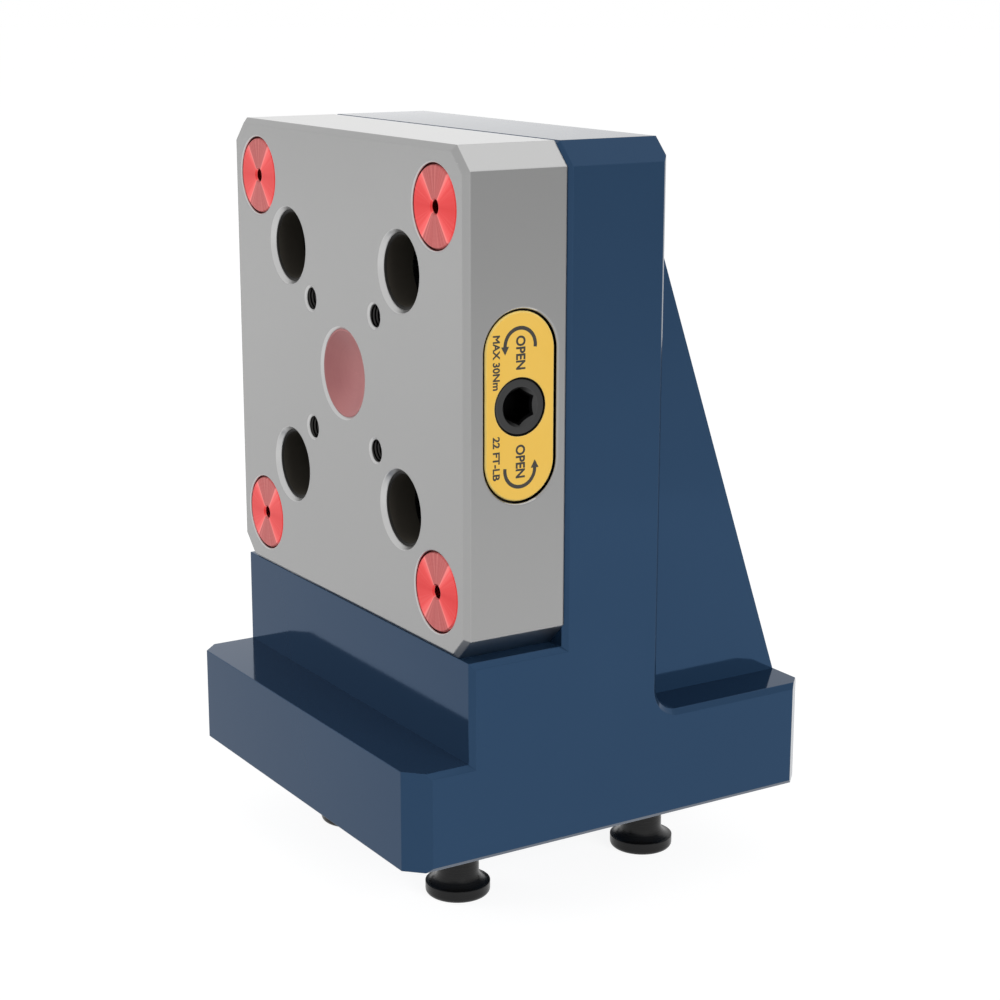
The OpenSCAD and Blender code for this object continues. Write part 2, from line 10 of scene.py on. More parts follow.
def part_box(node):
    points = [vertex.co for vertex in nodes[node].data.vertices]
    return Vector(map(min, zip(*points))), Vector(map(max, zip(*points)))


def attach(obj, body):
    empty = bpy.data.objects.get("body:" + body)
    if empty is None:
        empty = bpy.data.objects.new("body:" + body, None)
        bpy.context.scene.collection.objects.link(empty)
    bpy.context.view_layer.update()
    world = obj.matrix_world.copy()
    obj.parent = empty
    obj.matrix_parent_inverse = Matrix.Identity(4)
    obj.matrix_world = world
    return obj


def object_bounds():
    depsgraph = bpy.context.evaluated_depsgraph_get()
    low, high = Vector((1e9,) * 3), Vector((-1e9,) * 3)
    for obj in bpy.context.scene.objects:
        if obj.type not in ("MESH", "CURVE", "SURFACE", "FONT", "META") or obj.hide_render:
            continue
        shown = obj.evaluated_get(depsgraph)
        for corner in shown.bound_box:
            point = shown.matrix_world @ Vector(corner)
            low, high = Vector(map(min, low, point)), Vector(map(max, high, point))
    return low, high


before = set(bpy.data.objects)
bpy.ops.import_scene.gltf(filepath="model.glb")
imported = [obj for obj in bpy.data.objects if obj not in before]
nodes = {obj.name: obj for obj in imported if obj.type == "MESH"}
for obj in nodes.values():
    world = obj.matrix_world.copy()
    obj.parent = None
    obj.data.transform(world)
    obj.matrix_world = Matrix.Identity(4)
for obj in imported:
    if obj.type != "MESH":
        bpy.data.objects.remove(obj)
cad_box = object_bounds()
MM = 0.001


# Angle bracket: one machined block with base, step, column and two ribs. The metal is ground
# and has a clear blue finish, so it mirrors what stands near it as dark blue metal does, with
# a faint orange peel and a slightly thinner film on the edges.
BRACKET_BLUE = (0.0255, 0.0625, 0.127, 1)
BRACKET_THIN = (0.042, 0.092, 0.174, 1)
EDGE_ON = (0.75, 0.75, 0.75, 1)
BRACKET_EDGE = 0.3 * MM
BRACKET_ROUGH = (0.07, 0.10)
PEEL_SIZE = 1.6 * MM
PEEL_DEPTH = 0.004 * MM


def shader_group(name, inputs, outputs):
    """A node group with float inputs (name, value) and outputs (name, socket type)."""
    tree = bpy.data.node_groups.new(name, "ShaderNodeTree")
    for label, value in inputs:
        socket = tree.interface.new_socket(label, in_out="INPUT", socket_type="NodeSocketFloat")
        socket.default_value = value
    for label, kind in outputs:
        tree.interface.new_socket(label, in_out="OUTPUT", socket_type="NodeSocket" + kind)
    entry = tree.nodes.new("NodeGroupInput")
    leave = tree.nodes.new("NodeGroupOutput")
    return tree, entry.outputs, leave.inputs


def feed(tree, socket, value):
    """Links an output to a socket, or sets a constant there."""
    if isinstance(value, bpy.types.NodeSocket):
        tree.links.new(value, socket)
    else:
        socket.default_value = value


def node(tree, kind, settings=None, **values):
    """Adds a shader node, sets its properties and feeds its inputs, by name or as i0, i1, ..."""
    made = tree.nodes.new("ShaderNode" + kind)
    for key, value in (settings or {}).items():
        setattr(made, key, value)
    for key, value in values.items():
        numbered = key[0] == "i" and key[1:].isdigit()
        feed(tree, made.inputs[int(key[1:]) if numbered else key.replace("_", " ")], value)
    return made


def maths(tree, operation, *values):
    """Result of a Math node on one, two or three values."""
    made = node(tree, "Math", {"operation": operation})
    for socket, value in zip(made.inputs, values):
        feed(tree, socket, value)
    return made.outputs[0]


def ramp(tree, value, low, high, start=0.0, end=1.0):
    """A value mapped from low..high to start..end, held at both ends."""
    made = node(tree, "MapRange", {"clamp": True}, Value=value,
                From_Min=low, From_Max=high, To_Min=start, To_Max=end)
    return made.outputs["Result"]


def blend(tree, factor, first, second):
    """Two colours mixed by a factor."""
    return node(tree, "Mix", {"data_type": "RGBA"}, i0=factor, i6=first, i7=second).outputs[2]


# Soft edge: the small radius that deburring leaves on outer edges, as a rounded normal and an
# edge mask. Inner corners stay sharp.
soft_edge, given, result = shader_group(
    "soft_edge", [("Radius", 0.3 * MM)], [("Normal", "Vector"), ("Edge", "Float")])
rounded = node(soft_edge, "Bevel", {"samples": 6}, Radius=given["Radius"]).outputs["Normal"]
flat = node(soft_edge, "NewGeometry").outputs["Normal"]
corner = node(soft_edge, "AmbientOcclusion", {"samples": 4, "only_local": True},
              Distance=maths(soft_edge, "MULTIPLY", given["Radius"], 3.0))
outer = ramp(soft_edge, corner.outputs["AO"], 0.80, 0.97)
bent = node(soft_edge, "Mix", {"data_type": "VECTOR"}, i0=outer, i4=flat, i5=rounded).outputs[1]
agree = node(soft_edge, "VectorMath", {"operation": "DOT_PRODUCT"}, i0=bent, i1=flat).outputs["Value"]
soft_edge.links.new(bent, result["Normal"])
soft_edge.links.new(ramp(soft_edge, agree, 0.99, 0.80), result["Edge"])

# Cloudy film: slow and fine unevenness of a coated or treated surface.
cloudy_film, given, result = shader_group(
    "cloudy_film", [("Cloud Size", 30 * MM), ("Grain Size", 1 * MM)],
    [("Cloud", "Float"), ("Grain", "Float")])
where = node(cloudy_film, "TexCoord").outputs["Object"]
cloud = node(cloudy_film, "TexNoise", Vector=where, Detail=3.0,
             Scale=maths(cloudy_film, "DIVIDE", 1.0, given["Cloud Size"]))
grain = node(cloudy_film, "TexNoise", Vector=where, Detail=2.0,
             Scale=maths(cloudy_film, "DIVIDE", 1.0, given["Grain Size"]))
cloudy_film.links.new(cloud.outputs["Fac"], result["Cloud"])
cloudy_film.links.new(grain.outputs["Fac"], result["Grain"])


def group(tree, source, **values):
    """Places a node group in a material with its own values."""
    return node(tree, "Group", {"node_tree": source}, **values).outputs


def surface(name, **constants):
    """A new material with a Principled shader and the values that hold all over it."""
    made = bpy.data.materials.new(name)
    made.use_nodes = True
    tree = made.node_tree
    shader = tree.nodes["Principled BSDF"]
    for key, value in constants.items():
        shader.inputs[key.replace("_", " ")].default_value = value
    return made, tree, shader.inputs


def bumped(tree, height, normal, depth):
    """Normal of a surface with fine relief of a given depth."""
    made = node(tree, "Bump", Height=height, Normal=normal, Strength=1.0, Distance=depth)
    return made.outputs["Normal"]


def dress(material, *names):
    """Gives CAD nodes a material."""
    for name in names:
        slots = nodes[name].data.materials
        slots.clear()
        slots.append(material)


blue_coat, tree, shader = surface("blue_coat", Metallic=0.5, IOR=1.25, Specular_Tint=EDGE_ON)
edge = group(tree, soft_edge, Radius=BRACKET_EDGE)
film = group(tree, cloudy_film, Cloud_Size=45 * MM, Grain_Size=PEEL_SIZE)
thin = maths(tree, "MULTIPLY_ADD", edge["Edge"], 0.45, ramp(tree, film["Cloud"], 0.35, 0.75, 0.0, 0.10))
tree.links.new(blend(tree, thin, BRACKET_BLUE, BRACKET_THIN), shader["Base Color"])
tree.links.new(ramp(tree, film["Cloud"], 0.3, 0.7, *BRACKET_ROUGH), shader["Roughness"])
tree.links.new(bumped(tree, film["Grain"], edge["Normal"], PEEL_DEPTH), shader["Normal"])
dress(blue_coat, "angle_bracket")


# Pull studs: four hardened studs screwed into the base from below, turned and blackened.
# The tool left fine rings round the rim and the neck.
STUD_BLACK = (0.0070, 0.0070, 0.0072, 1)
STUD_WORN = (0.026, 0.025, 0.024, 1)
STUD_EDGE = 0.35 * MM
STUD_ROUGH = (0.24, 0.34)
STUD_FEED = 0.22 * MM
RING_DEPTH = 0.003 * MM

turned_rings, given, result = shader_group(
    "turned_rings", [("Along", 0.0), ("Pitch", 0.2 * MM)], [("Rings", "Float"), ("Bands", "Float")])
steps = maths(turned_rings, "DIVIDE", given["Along"], given["Pitch"])
wave = maths(turned_rings, "SINE", maths(turned_rings, "MULTIPLY", steps, 2 * math.pi))
bands = node(turned_rings, "TexNoise", {"noise_dimensions": "1D"}, W=steps, Scale=0.4, Detail=3.0)
turned_rings.links.new(maths(turned_rings, "MULTIPLY_ADD", wave, 0.5, 0.5), result["Rings"])
turned_rings.links.new(bands.outputs["Fac"], result["Bands"])


def placed(tree):
    """X, Y and Z of a point on the part, in metres."""
    return node(tree, "SeparateXYZ", Vector=node(tree, "TexCoord").outputs["Object"]).outputs


black_stud, tree, shader = surface("black_stud", IOR=1.33)
edge = group(tree, soft_edge, Radius=STUD_EDGE)
rings = group(tree, turned_rings, Along=placed(tree)["Z"], Pitch=STUD_FEED)
worn = maths(tree, "MULTIPLY_ADD", edge["Edge"], 0.5, ramp(tree, rings["Bands"], 0.4, 0.8, 0.0, 0.3))
tree.links.new(blend(tree, worn, STUD_BLACK, STUD_WORN), shader["Base Color"])
tree.links.new(ramp(tree, rings["Bands"], 0.3, 0.7, *STUD_ROUGH), shader["Roughness"])
tree.links.new(bumped(tree, rings["Rings"], edge["Normal"], RING_DEPTH), shader["Normal"])
dress(black_stud, *(f"pull_stud_{i}" for i in range(1, 5)))


# Clamping plate: a flat ground steel plate, fine blasted and nickel plated to an even satin
# grey. It lies on the ledge against the column and holds the whole clamping gear.
PLATE_GREY = (0.340, 0.340, 0.339, 1)
PLATE_BRIGHT = (0.55, 0.55, 0.548, 1)
# Painted highlight: the corner cuts, the lead-ins and the top face are coloured lighter than the rest.
PLATE_CUT_HIGHLIGHT = (0.58, 0.58, 0.578, 1)
PLATE_LEAD_IN_HIGHLIGHT = (0.52, 0.52, 0.518, 1)
PLATE_TOP_HIGHLIGHT = (0.665, 0.665, 0.662, 1)
PLATE_EDGE = 0.5 * MM
PLATE_ROUGH = (0.29, 0.33)
BLAST_GRAIN = 0.16 * MM
BLAST_DEPTH = 0.0012 * MM
THREAD_PITCH = 0.8 * MM
THREAD_DEPTH = 0.5 * MM
THREAD_START = (0.35 * MM, 0.6 * MM)
# Painted shade: the threads inside the tapped holes are coloured dark.
THREAD_SHADE = (0.035, 0.034, 0.033, 1)
TAP_X = 15 * MM
TAP_Z = (104 * MM, 134 * MM)
TAP_R = 2.75 * MM
# Painted shade: the label's recess and the gap round the label are near black.
BED_SHADE = (0.012, 0.011, 0.010, 1)
BED_EDGE = 0.35 * MM
BED_ROOM = 0.6 * MM
CUT_ROOM = 3 * MM
TURNED = 0.3  # part of a face's direction from which it counts as turned to an axis
STRAIGHT = 0.95  # part from which it counts as square to the axis

plate_low, plate_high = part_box("clamp_plate")


def tapped_holes(tree):
    """Mask of the threads in the four tapped holes, darkened as painted shade, and the wave of their
    ridges.
    """
    place = placed(tree)
    mid_z = (TAP_Z[0] + TAP_Z[1]) / 2
    across = maths(tree, "SUBTRACT", maths(tree, "ABSOLUTE", place["X"]), TAP_X)
    up = maths(tree, "ABSOLUTE", maths(tree, "SUBTRACT", place["Z"], mid_z))
    up = maths(tree, "SUBTRACT", up, TAP_Z[1] - mid_z)
    square = maths(tree, "MULTIPLY_ADD", across, across, maths(tree, "MULTIPLY", up, up))
    depth = maths(tree, "SUBTRACT", place["Y"], plate_low.y)
    inside = maths(tree, "LESS_THAN", square, TAP_R * TAP_R)
    inside = maths(tree, "MULTIPLY", inside, ramp(tree, depth, *THREAD_START))
    turn = maths(tree, "DIVIDE", maths(tree, "ARCTAN2", up, across), 2 * math.pi)
    turn = maths(tree, "ADD", turn, maths(tree, "DIVIDE", depth, THREAD_PITCH))
    ridge = maths(tree, "PINGPONG", turn, 0.5)
    return inside, maths(tree, "MULTIPLY", ridge, inside)


def shaded_label_bed(tree):
    """Mask of the label's recess, which is coloured near black round the label as painted shade."""
    place = placed(tree)
    low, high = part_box("label_plate")
    above = maths(tree, "GREATER_THAN", place["X"], low.x - BED_EDGE)
    below = maths(tree, "LESS_THAN", place["X"], plate_high.x - BED_EDGE)
    inside = maths(tree, "MULTIPLY", above, below)
    for axis, a, b in (("Y", low.y, high.y), ("Z", low.z, high.z)):
        off = maths(tree, "ABSOLUTE", maths(tree, "SUBTRACT", place[axis], (a + b) / 2))
        inside = maths(tree, "MULTIPLY", inside, maths(tree, "LESS_THAN", off, (b - a) / 2 + BED_ROOM))
    return inside


def facing(tree):
    """X, Y and Z of the direction that a face looks in."""
    return node(tree, "SeparateXYZ", Vector=node(tree, "NewGeometry").outputs["True Normal"]).outputs


def highlighted_faces(tree):
    """Masks of the top face, the corner cuts and the lead-ins of the holes in front, which all get a
    lighter grey as painted highlight."""
    faces = facing(tree)
    turned = {}
    for axis in "XYZ":
        turned[axis] = maths(tree, "GREATER_THAN", maths(tree, "ABSOLUTE", faces[axis]), TURNED)
    corner = maths(tree, "MULTIPLY", maths(tree, "SUBTRACT", turned["X"], turned["Y"]), turned["Z"])
    top = maths(tree, "GREATER_THAN", faces["Z"], STRAIGHT)
    place = placed(tree)
    mid_z = (plate_low.z + plate_high.z) / 2
    off = maths(tree, "MAXIMUM", maths(tree, "ABSOLUTE", place["X"]),
                maths(tree, "ABSOLUTE", maths(tree, "SUBTRACT", place["Z"], mid_z)))
    hole = maths(tree, "MULTIPLY", turned["Y"], maths(tree, "LESS_THAN", off, plate_high.x - CUT_ROOM))
    slanted = maths(tree, "GREATER_THAN", faces["Y"], -STRAIGHT)
    return top, corner, maths(tree, "MULTIPLY", hole, slanted)


satin_plate, tree, shader = surface("satin_plate", Metallic=1.0)
edge = group(tree, soft_edge, Radius=PLATE_EDGE)
film = group(tree, cloudy_film, Cloud_Size=60 * MM, Grain_Size=BLAST_GRAIN)
thread_shade, ridge = tapped_holes(tree)
bright = maths(tree, "MULTIPLY_ADD", edge["Edge"], 0.25, ramp(tree, film["Cloud"], 0.3, 0.8, 0.0, 0.05))
skin = blend(tree, bright, PLATE_GREY, PLATE_BRIGHT)
# Painted highlight: lighter grey on the top face, the corner cuts and the lead-ins.
for mask, colour in zip(highlighted_faces(tree), (PLATE_TOP_HIGHLIGHT, PLATE_CUT_HIGHLIGHT, PLATE_LEAD_IN_HIGHLIGHT)):
    skin = blend(tree, mask, skin, colour)
# Painted shade: the label's recess is darkened.
skin = blend(tree, shaded_label_bed(tree), skin, BED_SHADE)
# Painted shade: the tapped holes' threads are darkened.
tree.links.new(blend(tree, thread_shade, skin, THREAD_SHADE), shader["Base Color"])
tree.links.new(ramp(tree, film["Grain"], 0.3, 0.7, *PLATE_ROUGH), shader["Roughness"])
blasted = bumped(tree, film["Grain"], edge["Normal"], BLAST_DEPTH)
tree.links.new(bumped(tree, ridge, blasted, THREAD_DEPTH), shader["Normal"])
dress(satin_plate, "clamp_plate")


# Dowel pins and clamping slides: hardened steel, blackened and then ground along their travel.
# They lie inside the plate and hardly show behind the receivers.
GROUND_STEEL = (0.085, 0.086, 0.088, 1)
GROUND_DULL = (0.045, 0.046, 0.047, 1)
GROUND_ROUGH = (0.22, 0.34)
GROUND_EDGE = 0.2 * MM
GRIND_PITCH = 0.12 * MM
GRIND_DEPTH = 0.002 * MM

ground_steel, tree, shader = surface("ground_steel", Metallic=1.0)
edge = group(tree, soft_edge, Radius=GROUND_EDGE)
lines = group(tree, turned_rings, Along=placed(tree)["Z"], Pitch=GRIND_PITCH)
tree.links.new(blend(tree, lines["Bands"], GROUND_STEEL, GROUND_DULL), shader["Base Color"])
tree.links.new(ramp(tree, lines["Bands"], 0.3, 0.7, *GROUND_ROUGH), shader["Roughness"])
tree.links.new(bumped(tree, lines["Rings"], edge["Normal"], GRIND_DEPTH), shader["Normal"])
dress(ground_steel, "dowel_pins", "slide_left", "slide_right")


# Bearing bushes: two plain bushes of turned bronze, pressed into the plate's side walls, in
# which the spindle turns.
BRONZE = (0.50, 0.31, 0.11, 1)
BRONZE_DARK = (0.30, 0.17, 0.06, 1)
BRONZE_ROUGH = (0.28, 0.42)
BRONZE_EDGE = 0.1 * MM
BRONZE_FEED = 0.15 * MM

turned_bronze, tree, shader = surface("turned_bronze", Metallic=1.0)
rings = group(tree, turned_rings, Along=placed(tree)["X"], Pitch=BRONZE_FEED)
edge = group(tree, soft_edge, Radius=BRONZE_EDGE)
tree.links.new(blend(tree, rings["Bands"], BRONZE, BRONZE_DARK), shader["Base Color"])
tree.links.new(ramp(tree, rings["Bands"], 0.3, 0.7, *BRONZE_ROUGH), shader["Roughness"])
tree.links.new(bumped(tree, rings["Rings"], edge["Normal"], RING_DEPTH), shader["Normal"])
dress(turned_bronze, "drive_bush", "tail_bush")


# Spindle and its retaining bush: turned steel, black oxidised, with a hexagon socket in the head. Edges
# are rubbed a little brighter, and the socket is coloured near black as painted shade.
SPINDLE_BLACK = (0.060, 0.0602, 0.0605, 1)
SPINDLE_WORN = (0.11, 0.11, 0.11, 1)
# Painted shade: colour of the hexagon socket.
SOCKET_SHADE = (0.0025, 0.0025, 0.0027, 1)
SOCKET_FLAT = 3.5 * MM
SPINDLE_ROUGH = (0.30, 0.42)
SPINDLE_EDGE = 0.25 * MM

black_oxide, tree, shader = surface("black_oxide", Metallic=1.0, Specular_Tint=EDGE_ON)
edge = group(tree, soft_edge, Radius=SPINDLE_EDGE)
film = group(tree, cloudy_film, Cloud_Size=4 * MM, Grain_Size=0.3 * MM)
worn = maths(tree, "MULTIPLY", edge["Edge"], ramp(tree, film["Cloud"], 0.3, 0.6, 0.2, 0.7))
low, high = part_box("spindle")
place = placed(tree)
aside = maths(tree, "ABSOLUTE", maths(tree, "SUBTRACT", place["Y"], (low.y + high.y) / 2))
rise = maths(tree, "ABSOLUTE", maths(tree, "SUBTRACT", place["Z"], (low.z + high.z) / 2))
slant = maths(tree, "MULTIPLY_ADD", rise, math.sin(math.pi / 3), maths(tree, "MULTIPLY", aside, 0.5))
socket = maths(tree, "LESS_THAN", maths(tree, "MAXIMUM", aside, slant), SOCKET_FLAT)
oxide = blend(tree, worn, SPINDLE_BLACK, SPINDLE_WORN)
# Painted shade: the hexagon socket is coloured near black.
tree.links.new(blend(tree, socket, oxide, SOCKET_SHADE), shader["Base Color"])
tree.links.new(ramp(tree, film["Cloud"], 0.3, 0.7, *SPINDLE_ROUGH), shader["Roughness"])
tree.links.new(bumped(tree, film["Grain"], edge["Normal"], RING_DEPTH), shader["Normal"])
dress(black_oxide, "spindle", "retaining_bush")


# Ring seals: moulded black rubber rings, one in a groove of the spindle's head and one round
# each corner plug, which it holds in its bore.
RUBBER = (0.012, 0.012, 0.012, 1)
RUBBER_BLOOM = (0.030, 0.030, 0.031, 1)
RUBBER_ROUGH = (0.55, 0.70)
RUBBER_DEPTH = 0.004 * MM

seal_rubber, tree, shader = surface("seal_rubber", IOR=1.45)
film = group(tree, cloudy_film, Cloud_Size=3 * MM, Grain_Size=0.12 * MM)
flat = node(tree, "NewGeometry").outputs["Normal"]
tree.links.new(blend(tree, film["Cloud"], RUBBER, RUBBER_BLOOM), shader["Base Color"])
tree.links.new(ramp(tree, film["Cloud"], 0.3, 0.7, *RUBBER_ROUGH), shader["Roughness"])
tree.links.new(bumped(tree, film["Grain"], flat, RUBBER_DEPTH), shader["Normal"])
dress(seal_rubber, "spindle_seal", "plug_seals")


# Back cover: a ground steel sheet let into the plate's rear face, which closes the pocket of
# the slides.
COVER_GREY = (0.40, 0.405, 0.41, 1)
COVER_DULL = (0.30, 0.303, 0.306, 1)
COVER_ROUGH = (0.26, 0.40)
COVER_PITCH = 0.25 * MM

ground_cover, tree, shader = surface("ground_cover", Metallic=1.0)
edge = group(tree, soft_edge, Radius=GROUND_EDGE)
lines = group(tree, turned_rings, Along=placed(tree)["X"], Pitch=COVER_PITCH)
tree.links.new(blend(tree, lines["Bands"], COVER_GREY, COVER_DULL), shader["Base Color"])
tree.links.new(ramp(tree, lines["Bands"], 0.3, 0.7, *COVER_ROUGH), shader["Roughness"])
tree.links.new(bumped(tree, lines["Rings"], edge["Normal"], RING_DEPTH), shader["Normal"])
dress(ground_cover, "back_cover")


# Screws: black oxidised socket screws, countersunk in the cover and with cylinder heads under
# the corner plugs.
SCREW_BLACK = (0.028, 0.0285, 0.030, 1)
SCREW_WORN = (0.095, 0.094, 0.093, 1)
SCREW_ROUGH = (0.34, 0.46)
SCREW_EDGE = 0.2 * MM

screw_oxide, tree, shader = surface("screw_oxide", IOR=1.55)
edge = group(tree, soft_edge, Radius=SCREW_EDGE)
film = group(tree, cloudy_film, Cloud_Size=5 * MM, Grain_Size=0.25 * MM)
worn = maths(tree, "MULTIPLY", edge["Edge"], ramp(tree, film["Cloud"], 0.3, 0.6, 0.1, 0.6))
tree.links.new(blend(tree, worn, SCREW_BLACK, SCREW_WORN), shader["Base Color"])
tree.links.new(ramp(tree, film["Cloud"], 0.3, 0.7, *SCREW_ROUGH), shader["Roughness"])
tree.links.new(bumped(tree, film["Grain"], edge["Normal"], RING_DEPTH), shader["Normal"])
dress(screw_oxide, "cover_screws", "mounting_screws")


# Receiver bushes: thin hardened bushes, blackened, pressed into the four receivers behind
# their lead-in. Their bores are honed and keep a film of oil.
RECEIVER_BLACK = (0.0125, 0.0120, 0.0112, 1)
RECEIVER_RUBBED = (0.026, 0.024, 0.021, 1)
RECEIVER_OILED = (0.085, 0.077, 0.064, 1)
RECEIVER_ROUGH = (0.38, 0.50)
RECEIVER_EDGE = 0.2 * MM
RECEIVER_FEED = 0.25 * MM
FRONTAL = -0.25  # Y part of a face's direction below which it is the bush's front

receiver_black, tree, shader = surface("receiver_black", IOR=1.22)
edge = group(tree, soft_edge, Radius=RECEIVER_EDGE)
rings = group(tree, turned_rings, Along=placed(tree)["Y"], Pitch=RECEIVER_FEED)
worn = maths(tree, "MULTIPLY_ADD", edge["Edge"], 0.4, ramp(tree, rings["Bands"], 0.4, 0.8, 0.0, 0.5))
bore = maths(tree, "GREATER_THAN", facing(tree)["Y"], FRONTAL)
black = blend(tree, worn, RECEIVER_BLACK, RECEIVER_RUBBED)
tree.links.new(blend(tree, bore, black, RECEIVER_OILED), shader["Base Color"])
tree.links.new(ramp(tree, rings["Bands"], 0.3, 0.7, *RECEIVER_ROUGH), shader["Roughness"])
tree.links.new(bumped(tree, rings["Rings"], edge["Normal"], RING_DEPTH), shader["Normal"])
dress(receiver_black, *(f"receiver_bush_{i}" for i in range(1, 5)))


# Corner plugs: red anodised aluminium discs, faced on a lathe, so that light fans out from the middle;
# the greyer sectors above and below the middle and the pale streaks in them are also painted into the
# colour as painted sheen. A ring seal holds them over the mounting screws.
# Painted sheen: colours by the turn round the disc, greyer above and below the middle.
PLUG_PAINTED_SHEEN = (
    (0.00, (0.70, 0.044, 0.045, 1)), (0.55, (0.78, 0.060, 0.060, 1)), (0.74, (0.90, 0.112, 0.112, 1)),
    (0.80, (0.92, 0.240, 0.230, 1)), (0.83, (0.50, 0.100, 0.098, 1)), (1.00, (0.47, 0.105, 0.102, 1)))
PLUG_PALE = (0.90, 0.36, 0.34, 1)
PLUG_ROUGH = (0.28, 0.36)
PLUG_EDGE = 0.2 * MM
PLUG_FEED = 0.18 * MM
PLUG_DEPTH = 0.002 * MM
PLUG_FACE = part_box("corner_plug_1")[1].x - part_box("corner_plug_1")[0].x


def on_disc(tree, size):
    """Distance from the middle of a disc that stands upright, in metres, and the turn round it."""
    place = node(tree, "SeparateXYZ", Vector=node(tree, "TexCoord").outputs["Generated"]).outputs
    across = maths(tree, "SUBTRACT", place["X"], 0.5)
    up = maths(tree, "SUBTRACT", place["Z"], 0.5)
    square = maths(tree, "MULTIPLY_ADD", across, across, maths(tree, "MULTIPLY", up, up))
    reach = maths(tree, "MULTIPLY", maths(tree, "SQRT", square), size)
    return reach, maths(tree, "ARCTAN2", up, across)


red_anodised, tree, shader = surface("red_anodised", Metallic=1.0, Anisotropic=0.7)
edge = group(tree, soft_edge, Radius=PLUG_EDGE)
reach, turn = on_disc(tree, PLUG_FACE)
rings = group(tree, turned_rings, Along=reach, Pitch=PLUG_FEED)
rays = node(tree, "TexNoise", {"noise_dimensions": "1D"}, W=turn, Scale=9.0, Detail=4.0, Roughness=0.75)
upright = maths(tree, "ABSOLUTE", maths(tree, "SINE", turn))
# Painted sheen: the colour turns greyer and paler towards the sectors above and below the middle.
painted_fan = node(tree, "ValToRGB", Fac=upright)
stops = painted_fan.color_ramp.elements
for at, colour in PLUG_PAINTED_SHEEN[1:-1]:
    stops.new(at).color = colour
stops[0].color, stops[-1].color = PLUG_PAINTED_SHEEN[0][1], PLUG_PAINTED_SHEEN[-1][1]
# Painted sheen: pale streaks in the upper and lower sectors.
sheen_streak = ramp(tree, rays.outputs["Fac"], 0.45, 0.75, 0.0, 0.35)
pale = maths(tree, "MULTIPLY_ADD", edge["Edge"], 0.6, maths(tree, "MULTIPLY", sheen_streak, upright))
tree.links.new(blend(tree, pale, painted_fan.outputs["Color"], PLUG_PALE), shader["Base Color"])
tree.links.new(ramp(tree, rings["Bands"], 0.3, 0.7, *PLUG_ROUGH), shader["Roughness"])
tree.links.new(bumped(tree, rings["Rings"], edge["Normal"], PLUG_DEPTH), shader["Normal"])
lathe = node(tree, "Tangent", {"direction_type": "RADIAL", "axis": "Y"})
tree.links.new(lathe.outputs["Tangent"], shader["Tangent"])
dress(red_anodised, *(f"corner_plug_{i}" for i in range(1, 5)))


# Centre plug: a hollowed aluminium disc in the middle of the plate, with a pale, worn red
# coat on its face.
CENTRE_RED = (0.43, 0.162, 0.167, 1)
CENTRE_PALE = (0.54, 0.232, 0.227, 1)
CENTRE_ROUGH = (0.38, 0.48)
CENTRE_FEED = 0.3 * MM
CENTRE_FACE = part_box("centre_plug")[1].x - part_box("centre_plug")[0].x

pale_anodised, tree, shader = surface("pale_anodised", Metallic=0.25, IOR=1.3)
edge = group(tree, soft_edge, Radius=PLUG_EDGE)
film = group(tree, cloudy_film, Cloud_Size=9 * MM, Grain_Size=0.4 * MM)
rings = group(tree, turned_rings, Along=on_disc(tree, CENTRE_FACE)[0], Pitch=CENTRE_FEED)
pale = maths(tree, "MULTIPLY_ADD", rings["Bands"], 0.3, ramp(tree, film["Cloud"], 0.3, 0.7, 0.0, 0.5))
tree.links.new(blend(tree, pale, CENTRE_RED, CENTRE_PALE), shader["Base Color"])
tree.links.new(ramp(tree, film["Cloud"], 0.3, 0.7, *CENTRE_ROUGH), shader["Roughness"])
tree.links.new(bumped(tree, rings["Rings"], edge["Normal"], PLUG_DEPTH), shader["Normal"])
dress(pale_anodised, "centre_plug")


# Label plate: thin aluminium with a printed yellow face, glued into the recess round the
# spindle's head.
LABEL_YELLOW = (0.90, 0.552, 0.082, 1)
LABEL_LIGHT = (0.95, 0.72, 0.24, 1)
# Painted highlight: the slanted lip round the label's face is a lighter yellow.
LABEL_LIP_HIGHLIGHT = (0.96, 0.71, 0.21, 1)
# Painted shade: the label's side walls are coloured near black.
LABEL_SIDE_SHADE = (0.030, 0.022, 0.010, 1)
LABEL_ROUGH = (0.34, 0.44)
LABEL_EDGE = 0.35 * MM
PRINT_DEPTH = 0.002 * MM

yellow_print, tree, shader = surface("yellow_print", IOR=1.45)
edge = group(tree, soft_edge, Radius=LABEL_EDGE)
film = group(tree, cloudy_film, Cloud_Size=14 * MM, Grain_Size=0.25 * MM)
light = maths(tree, "MULTIPLY_ADD", edge["Edge"], 0.8, ramp(tree, film["Cloud"], 0.3, 0.8, 0.0, 0.15))
outward_x = facing(tree)["X"]
# Painted shade: faces turned away from the label's front get the dark side colour.
printed = ramp(tree, outward_x, 0.3, 0.6)
yellow = blend(tree, light, LABEL_YELLOW, LABEL_LIGHT)
# Painted highlight: lighter yellow on the slanted lip.
yellow = blend(tree, ramp(tree, outward_x, 0.98, 0.90), yellow, LABEL_LIP_HIGHLIGHT)
tree.links.new(blend(tree, printed, LABEL_SIDE_SHADE, yellow), shader["Base Color"])
tree.links.new(ramp(tree, film["Grain"], 0.3, 0.7, *LABEL_ROUGH), shader["Roughness"])
tree.links.new(bumped(tree, film["Grain"], edge["Normal"], PRINT_DEPTH), shader["Normal"])
dress(yellow_print, "label_plate")


